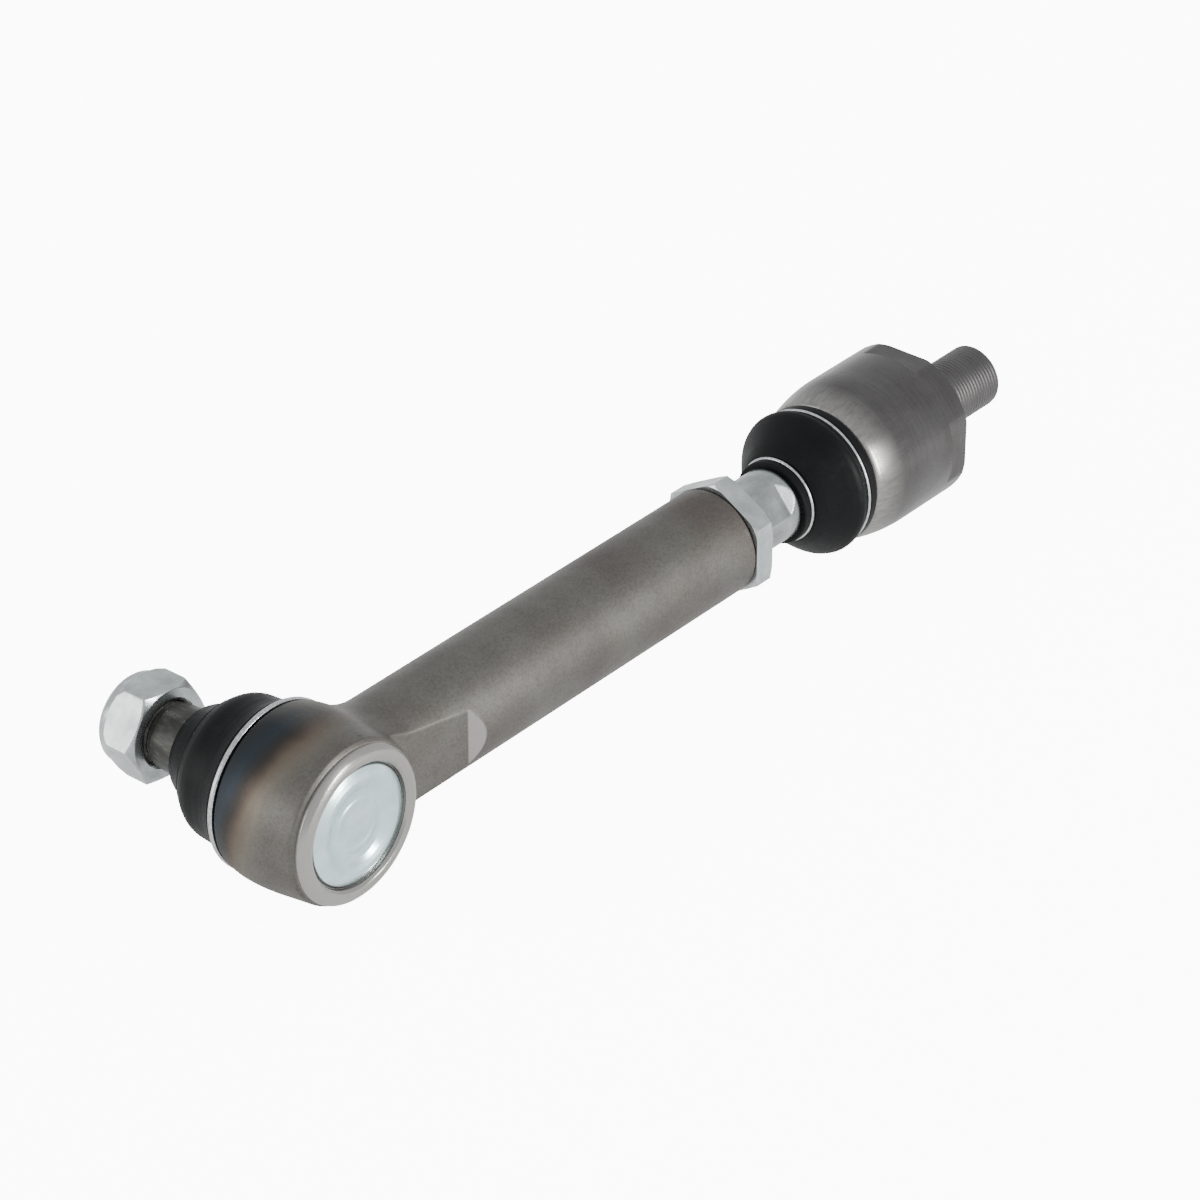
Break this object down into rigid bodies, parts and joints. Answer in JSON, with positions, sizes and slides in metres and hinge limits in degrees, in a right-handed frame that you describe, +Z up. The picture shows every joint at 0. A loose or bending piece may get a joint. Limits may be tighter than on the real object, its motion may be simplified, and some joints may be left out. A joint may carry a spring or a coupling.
{
  "type": "tie rod",
  "caption": "Adjustable steering tie rod: forged barrel with a booted ball stud at one end and a screwed-in axial ball joint with a threaded spigot at the other.",
  "frame": {"origin": "centre of the inner housing's back shoulder, at the foot of the threaded spigot", "axes": "+X along the rod, out of the threaded spigot; +Y along the ball stud, towards its nut; +Z up"},
  "size_m": [0.3605, 0.1002, 0.057],
  "materials": {
    "forged_steel": "forged and shot-blasted, thin oil film, matt grey-brown, heat tint by the boot ring",
    "turned_steel": "turned and swaged, bare, lightly oiled",
    "zinc_plated_steel": "bright blue-passivated zinc plate",
    "stud_steel": "ground, phosphated and oiled, dark grey",
    "spring_steel": "hardened and oiled",
    "bright_ring_steel": "drawn spring steel, bright",
    "boot_rubber": "moulded nitrile rubber, satin black",
    "seat_plastic": "moulded acetal, natural",
    "insert_nylon": "nylon, natural"
  },
  "bodies": {
    "barrel": {"tie_rod_end": "forged_steel", "end_cap": "zinc_plated_steel", "cap_disc_spring": "spring_steel", "lower_seat": "seat_plastic", "upper_seat": "seat_plastic", "outer_boot_clamp_ring": "bright_ring_steel"},
    "outer_boot": {"outer_boot": "boot_rubber"},
    "outer_boot_lip": {"outer_boot_lip_ring": "bright_ring_steel"},
    "ball_stud": {"ball_stud": "stud_steel"},
    "nut_insert": {"nut_locking_insert": "insert_nylon"},
    "stud_nut": {"stud_nut": "zinc_plated_steel"},
    "lock_nut": {"lock_nut": "zinc_plated_steel"},
    "boot_small_end": {"inner_boot_small_wire": "bright_ring_steel"},
    "inner_rod": {"inner_rod": "zinc_plated_steel"},
    "inner_boot": {"inner_boot": "boot_rubber"},
    "boot_large_end": {"inner_boot_large_wire": "bright_ring_steel"},
    "inner_housing": {"inner_housing": "turned_steel", "front_seat": "seat_plastic", "rear_seat": "seat_plastic", "thrust_washer": "spring_steel", "thrust_disc_spring": "spring_steel"}
  },
  "joints": [
    {"name": "outer_orbit", "type": "hinge", "parent": "barrel", "child": "outer_boot", "pos_m": [-0.293, 0, 0], "axis": [0, 1, 0], "continuous": true},
    {"name": "outer_tilt", "type": "hinge", "parent": "outer_boot", "child": "outer_boot_lip", "pos_m": [-0.293, 0, 0], "axis": [0, 0, 1], "range_deg": [-24, 24], "deforming": ["outer_boot"]},
    {"name": "outer_spin", "type": "hinge", "parent": "outer_boot_lip", "child": "ball_stud", "pos_m": [-0.293, 0, 0], "axis": [0, 1, 0], "continuous": true},
    {"name": "nut_travel", "type": "slide", "parent": "ball_stud", "child": "nut_insert", "axis": [0, 1, 0], "range_m": [0, 0.01801]},
    {"name": "nut_turn", "type": "hinge", "parent": "nut_insert", "child": "stud_nut", "pos_m": [-0.293, 0.062, 0], "axis": [0, 1, 0], "range_deg": [0, 4320]},
    {"name": "lock_nut_turn", "type": "hinge", "parent": "barrel", "child": "lock_nut", "pos_m": [-0.0982, 0, 0], "axis": [1, 0, 0], "range_deg": [0, 360]},
    {"name": "length_slide", "type": "slide", "parent": "barrel", "child": "boot_small_end", "axis": [1, 0, 0], "range_m": [0, 0.012]},
    {"name": "rod_turn", "type": "hinge", "parent": "boot_small_end", "child": "inner_rod", "pos_m": [-0.083, 0, 0], "axis": [1, 0, 0], "range_deg": [0, 2880.5]},
    {"name": "inner_orbit", "type": "hinge", "parent": "boot_small_end", "child": "inner_boot", "pos_m": [-0.033, 0, 0], "axis": [1, 0, 0], "continuous": true},
    {"name": "inner_tilt", "type": "hinge", "parent": "inner_boot", "child": "boot_large_end", "pos_m": [-0.033, 0, 0], "axis": [0, 1, 0], "range_deg": [-20, 20], "deforming": ["inner_boot"]},
    {"name": "inner_spin", "type": "hinge", "parent": "boot_large_end", "child": "inner_housing", "pos_m": [-0.033, 0, 0], "axis": [1, 0, 0], "continuous": true}
  ],
  "couplings": [
    {"joint": "nut_travel", "follows": "nut_turn", "m_per_rad": 0.00023873},
    {"joint": "rod_turn", "follows": "length_slide", "rad_per_m": 4188.8}
  ]
}
